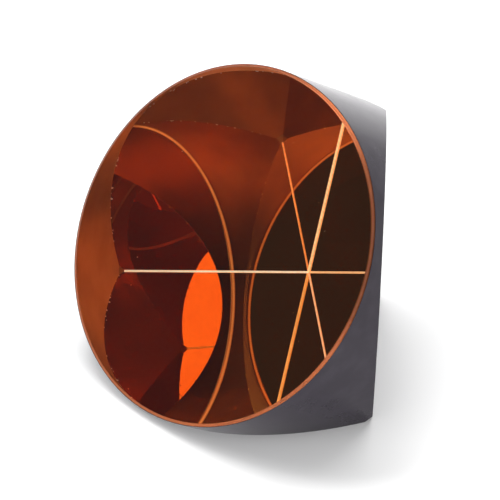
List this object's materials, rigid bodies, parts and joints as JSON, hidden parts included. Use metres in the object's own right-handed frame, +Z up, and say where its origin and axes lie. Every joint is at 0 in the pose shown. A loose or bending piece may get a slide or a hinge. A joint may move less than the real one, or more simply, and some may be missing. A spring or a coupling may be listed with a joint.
{
  "type": "corner-cube reflector prism",
  "caption": "Round corner-cube reflector prism of glass: polished front face, copper-mirrored back faces that meet square at an apex, and dark lacquer over the copper.",
  "frame": {"origin": "on the standing plane, under the middle of the bounding box", "axes": "+Z up from the lower back face that the prism stands on, +Y to the rear back face, +X to the side back face; the front face looks along (-1, -1, 1)"},
  "size_m": [0.0538, 0.0538, 0.0538],
  "materials": {
    "optical_glass": "polished",
    "copper_mirror": "polished",
    "ground_copper": "matte",
    "dark_lacquer": "satin"
  },
  "bodies": {
    "root": {"glass_body": "optical_glass", "mirror_film_lower": "copper_mirror", "mirror_film_rear": "copper_mirror", "mirror_film_side": "copper_mirror", "edge_film_left": "ground_copper", "edge_film_near": "ground_copper", "edge_film_upright": "ground_copper", "barrel_film": "ground_copper", "lacquer_lower": "dark_lacquer", "lacquer_rear": "dark_lacquer", "lacquer_side": "dark_lacquer", "barrel_lacquer": "dark_lacquer"}
  },
  "joints": []
}
